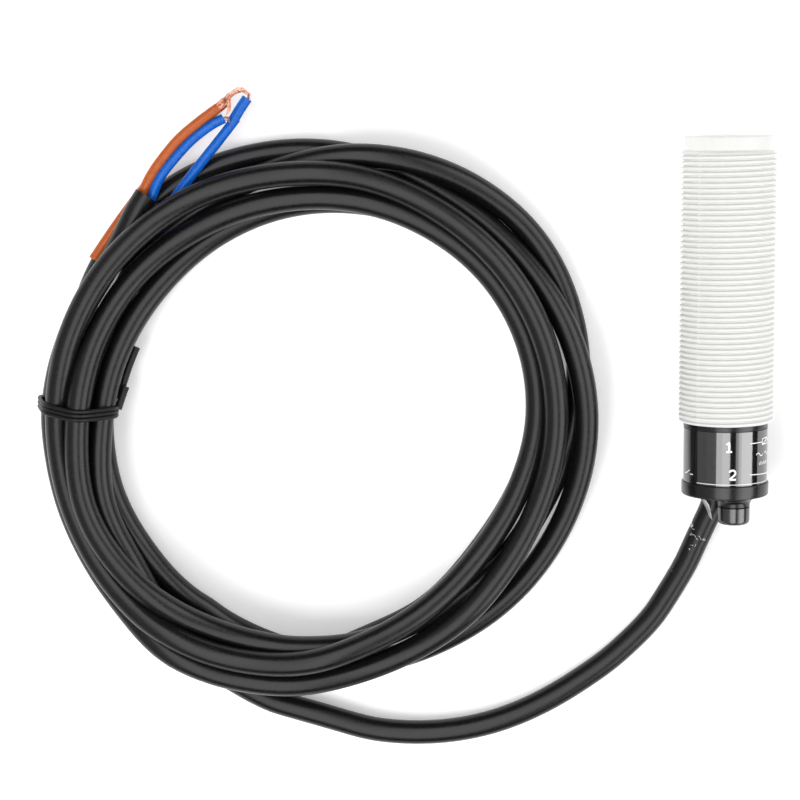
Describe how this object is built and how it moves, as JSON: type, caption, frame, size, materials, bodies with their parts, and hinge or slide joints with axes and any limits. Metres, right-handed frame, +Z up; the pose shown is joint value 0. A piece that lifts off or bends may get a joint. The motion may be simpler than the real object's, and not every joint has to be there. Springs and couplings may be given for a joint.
{
  "type": "proximity sensor",
  "caption": "Cylindrical capacitive proximity sensor: threaded plastic barrel, rear cap with adjuster under a plug, circuit inside, and a two-core lead wound in a tied coil.",
  "frame": {"origin": "middle of the underside of the sensor itself, without its lead, lying on a table", "axes": "+Y along the barrel towards the sensing face, +Z up from the table, +X to the right seen from above with the sensing face away from the viewer"},
  "size_m": [0.1454, 0.1284, 0.018],
  "materials": {
    "barrel_plastic": "white moulded polyester, satin",
    "cap_plastic": "glossy black moulded plastic",
    "label_film": "glossy black printed film",
    "trimmer_body": "blue moulded plastic",
    "rotor_brass": "turned brass",
    "lens_red": "clear red plastic",
    "black_rubber": "matt black rubber",
    "carrier_plastic": "natural moulded plastic",
    "copper": "bare copper",
    "board": "green solder mask",
    "chip_plastic": "black moulding compound",
    "ceramic": "ceramic body",
    "can_aluminium": "bare aluminium can",
    "resin": "cast epoxy",
    "cable_sheath": "black PVC, soft gloss",
    "tie_plastic": "black PVC over wire",
    "core_brown": "brown PVC",
    "core_blue": "blue PVC"
  },
  "bodies": {
    "housing": {"barrel": "barrel_plastic", "rear_cap": "cap_plastic", "rating_label": "label_film", "sensitivity_trimmer": "trimmer_body", "indicator_lens": "lens_red", "indicator_led": "lens_red", "cable_bush": "black_rubber", "electrode_carrier": "carrier_plastic", "sensing_electrode": "copper", "guard_ring": "copper", "circuit_board": "board", "oscillator_chip": "chip_plastic", "comparator_chip": "chip_plastic", "timing_capacitor": "ceramic", "feedback_resistor": "chip_plastic", "driver_transistor": "chip_plastic", "bridge_rectifier": "chip_plastic", "output_thyristor": "chip_plastic", "filter_capacitor": "ceramic", "zener_diode": "chip_plastic", "supply_capacitor": "can_aluminium", "bleed_resistor": "ceramic", "surge_suppressor": "trimmer_body", "resin_dam": "resin", "brown_inner_lead": "core_brown", "blue_inner_lead": "core_blue", "cable_lead": "cable_sheath", "cable_coil": "cable_sheath", "coil_tie": "tie_plastic", "brown_core": "core_brown", "blue_core": "core_blue", "brown_slug": "core_brown", "blue_slug": "core_blue", "brown_strands": "copper", "blue_strands": "copper"},
    "plug": {"adjuster_plug": "cap_plastic"},
    "rotor": {"trimmer_rotor": "rotor_brass"}
  },
  "joints": [
    {"name": "plug_pull", "type": "slide", "parent": "housing", "child": "plug", "axis": [0, -1, 0], "range_m": [0, 0.012]},
    {"name": "sensitivity_turn", "type": "hinge", "parent": "housing", "child": "rotor", "pos_m": [0.0013, -0.027, 0.012], "axis": [0, -1, 0], "range_deg": [-135, 135]}
  ]
}
